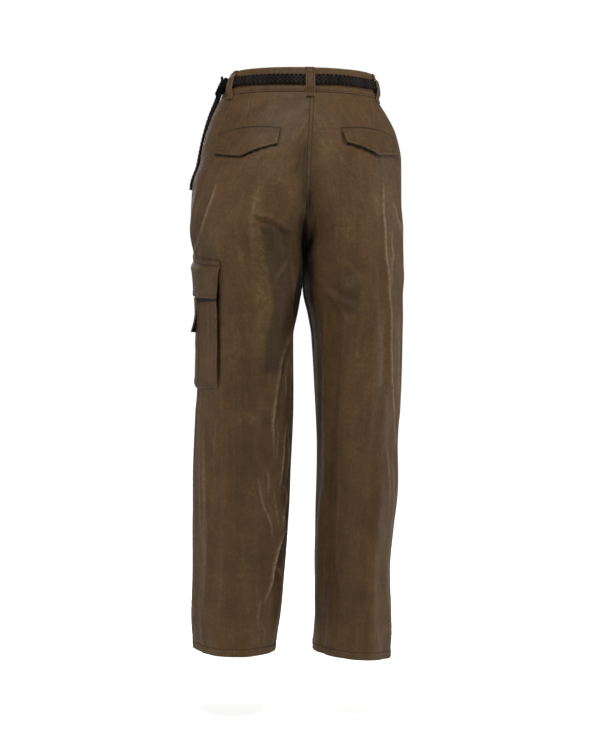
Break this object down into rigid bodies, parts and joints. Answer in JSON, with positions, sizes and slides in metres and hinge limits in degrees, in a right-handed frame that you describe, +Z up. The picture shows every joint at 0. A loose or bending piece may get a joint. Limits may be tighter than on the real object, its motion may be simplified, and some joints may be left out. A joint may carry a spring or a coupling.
{
  "type": "cargo trousers",
  "caption": "High-waisted wide straight cargo trousers as worn, hollow, with flapped back pockets, a side cargo pocket and a braided belt tied at the hip.",
  "frame": {"origin": "the middle of the waist opening, half way down the waistband, where the wearer's waist holds the trousers", "axes": "+Z up from the hems to the waist, +X towards the wearer's left, -Y the front"},
  "size_m": [0.3942, 0.245, 1.0726],
  "materials": {
    "cloth": "dry waxed cotton, low sheen",
    "touch_fastener": "matt black pile",
    "braid": "soft satin braid"
  },
  "bodies": {
    "root": {"back_left": "cloth", "back_right": "cloth", "front_left": "cloth", "front_right": "cloth", "front_pocket_left": "cloth", "front_pocket_right": "cloth", "fly_lap": "cloth", "waistband": "cloth", "loop_back": "cloth", "loop_left": "cloth", "loop_right": "cloth", "loop_front_left": "cloth", "loop_front_right": "cloth", "back_flap_left": "cloth", "back_flap_right": "cloth", "cargo_pocket": "cloth", "cargo_bellows": "cloth", "cargo_flap": "cloth", "cargo_tab": "cloth", "cargo_tab_patch": "touch_fastener", "belt": "braid", "belt_knot": "braid", "belt_tail": "braid"}
  },
  "joints": []
}
